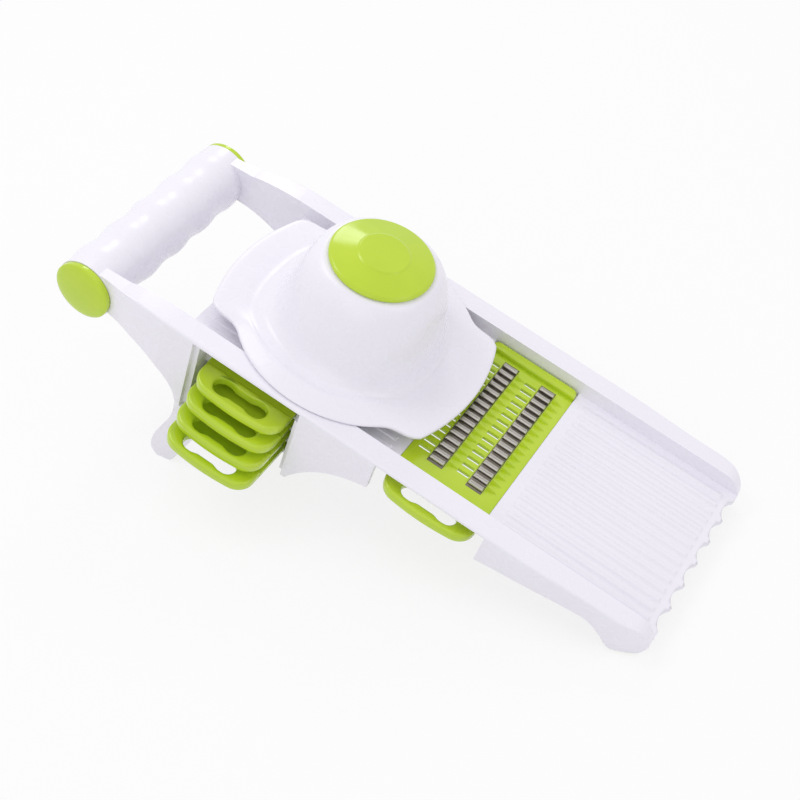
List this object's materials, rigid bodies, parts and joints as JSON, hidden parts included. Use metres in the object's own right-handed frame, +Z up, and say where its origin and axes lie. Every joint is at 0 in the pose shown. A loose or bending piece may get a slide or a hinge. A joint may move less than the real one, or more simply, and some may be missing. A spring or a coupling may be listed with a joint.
{
  "type": "mandoline slicer",
  "caption": "Tilted mandoline slicer: ribbed deck on feet, wavy grip, sliding food holder with plunger, comb insert in the bay and spare blade inserts in a side rack.",
  "frame": {"origin": "centre of the whole slicer's footprint box, on the table it stands on", "axes": "+X from the grip to the scalloped front edge, +Z up, -Y the side where the inserts come out"},
  "size_m": [0.3148, 0.1484, 0.1288],
  "materials": {
    "white_plastic": "moulded, satin gloss",
    "lime_plastic": "moulded, glossy",
    "lime_rubber": "moulded, matt",
    "blade_steel": "pressed stainless sheet"
  },
  "bodies": {
    "base": {"main_body": "white_plastic", "handle_grip": "white_plastic", "near_handle_cap": "lime_plastic", "far_handle_cap": "lime_plastic", "near_front_pad": "lime_rubber", "far_front_pad": "lime_rubber"},
    "holder": {"holder_shell": "white_plastic"},
    "plunger": {"plunger_knob": "lime_plastic", "plunger_stem": "white_plastic", "plunger_plate": "white_plastic", "plunger_prongs": "blade_steel"},
    "julienne_insert": {"julienne_frame": "lime_plastic", "julienne_comb_rear": "blade_steel", "julienne_comb_front": "blade_steel"},
    "slicer_insert": {"slicer_frame": "lime_plastic", "slicer_blade": "blade_steel"},
    "wavy_insert": {"wavy_frame": "lime_plastic", "wavy_blade": "blade_steel"},
    "shredder_insert": {"shredder_frame": "lime_plastic", "shredder_comb": "blade_steel"},
    "grater_insert": {"grater_frame": "lime_plastic", "grater_sheet": "blade_steel"}
  },
  "joints": [
    {"name": "holder_slide", "type": "slide", "parent": "base", "child": "holder", "axis": [0.9563, 0, -0.2924], "range_m": [-0.015, 0.115]},
    {"name": "plunger_slide", "type": "slide", "parent": "holder", "child": "plunger", "axis": [0.2924, 0, 0.9563], "range_m": [0, 0.03]},
    {"name": "julienne_slide", "type": "slide", "parent": "base", "child": "julienne_insert", "axis": [0, -1, 0], "range_m": [0, 0.085]},
    {"name": "slicer_slide", "type": "slide", "parent": "base", "child": "slicer_insert", "axis": [0, -1, 0], "range_m": [-0.0039, 0.0811]},
    {"name": "wavy_slide", "type": "slide", "parent": "base", "child": "wavy_insert", "axis": [0, -1, 0], "range_m": [-0.0094, 0.0756]},
    {"name": "shredder_slide", "type": "slide", "parent": "base", "child": "shredder_insert", "axis": [0, -1, 0], "range_m": [-0.0149, 0.0701]},
    {"name": "grater_slide", "type": "slide", "parent": "base", "child": "grater_insert", "axis": [0, -1, 0], "range_m": [-0.0204, 0.0646]}
  ]
}
